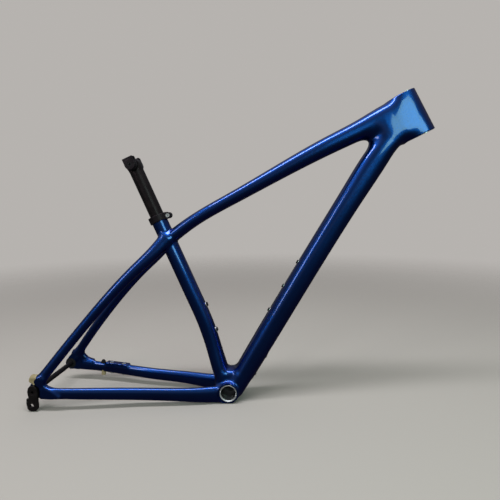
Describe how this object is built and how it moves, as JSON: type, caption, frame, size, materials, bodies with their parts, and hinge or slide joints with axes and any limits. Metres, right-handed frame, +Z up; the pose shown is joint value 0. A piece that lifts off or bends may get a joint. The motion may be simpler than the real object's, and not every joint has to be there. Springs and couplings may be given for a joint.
{
  "type": "bicycle frame",
  "caption": "Hardtail mountain bike frame with curved main tubes, wide rear stays, seatpost with saddle clamp, thru axle and replaceable derailleur hanger.",
  "frame": {"origin": "centre of the bottom bracket shell, on its axis and on the frame's centre plane", "axes": "+X forward with the wheel axles level, +Z up, +Y to the rider's left; the drive side is -Y"},
  "size_m": [0.9523, 0.176, 0.6483],
  "materials": {
    "paint": "metallic blue clear-coated paint over carbon fibre",
    "dropout_paint": "the same blue paint over the dropouts",
    "headset_ring": "black anodised, satin",
    "sleeve_metal": "bright machined thread sleeve",
    "hanger_black": "black anodised, satin",
    "axle_black": "black anodised, satin, with a bare thread",
    "post_black": "satin black",
    "clamp_black": "satin black",
    "bolt_steel": "dark plated steel",
    "boss_alloy": "satin alloy inserts",
    "cover_plastic": "dark moulded plastic",
    "grommet_rubber": "black rubber",
    "plug_tan": "tan soft plug"
  },
  "bodies": {
    "frame": {"head_tube": "paint", "top_tube": "paint", "down_tube": "paint", "seat_tube": "paint", "bottom_bracket_junction": "paint", "chainstay_left": "paint", "chainstay_right": "paint", "seatstay_left": "paint", "seatstay_right": "paint", "dropout_left": "dropout_paint", "dropout_right": "dropout_paint", "headset_seat_upper": "headset_ring", "headset_seat_lower": "headset_ring", "bottom_bracket_sleeve": "sleeve_metal", "brake_mount_sleeves": "boss_alloy", "seat_clamp": "clamp_black", "seat_clamp_bolt": "bolt_steel", "seat_clamp_nut": "bolt_steel", "down_tube_bosses": "boss_alloy", "seat_tube_bosses": "boss_alloy", "down_tube_boss_bolts": "bolt_steel", "seat_tube_boss_bolts": "bolt_steel", "cable_cover": "cover_plastic", "cable_cover_screws": "bolt_steel", "brake_hose_grommet": "grommet_rubber", "chainstay_port_plug": "plug_tan", "derailleur_port_plug": "plug_tan"},
    "seatpost": {"seatpost": "post_black", "seatpost_head": "post_black"},
    "saddle_clamp": {"saddle_clamp_inner": "clamp_black", "saddle_clamp_outer_left": "clamp_black", "saddle_clamp_outer_right": "clamp_black", "saddle_clamp_bolt": "bolt_steel", "saddle_clamp_nut": "bolt_steel"},
    "axle_carrier": {"axle_washer": "axle_black"},
    "axle": {"thru_axle": "axle_black"},
    "hanger": {"derailleur_hanger": "hanger_black", "hanger_bolt": "hanger_black"}
  },
  "joints": [
    {"name": "seatpost_slide", "type": "slide", "parent": "frame", "child": "seatpost", "axis": [-0.299, 0, 0.9542], "range_m": [-0.035, 0.09]},
    {"name": "saddle_tilt", "type": "hinge", "parent": "seatpost", "child": "saddle_clamp", "pos_m": [-0.15544, 0, 0.5375], "axis": [0, 1, 0], "range_deg": [-10, 25]},
    {"name": "axle_withdraw", "type": "slide", "parent": "frame", "child": "axle_carrier", "axis": [0, 1, 0], "range_m": [0, 0.19]},
    {"name": "axle_turn", "type": "hinge", "parent": "axle_carrier", "child": "axle", "pos_m": [-0.425, 0, 0.064], "axis": [0, 1, 0], "continuous": true},
    {"name": "hanger_swing", "type": "hinge", "parent": "frame", "child": "hanger", "pos_m": [-0.425, -0.084, 0.064], "axis": [0, 1, 0], "range_deg": [0, 25]}
  ]
}
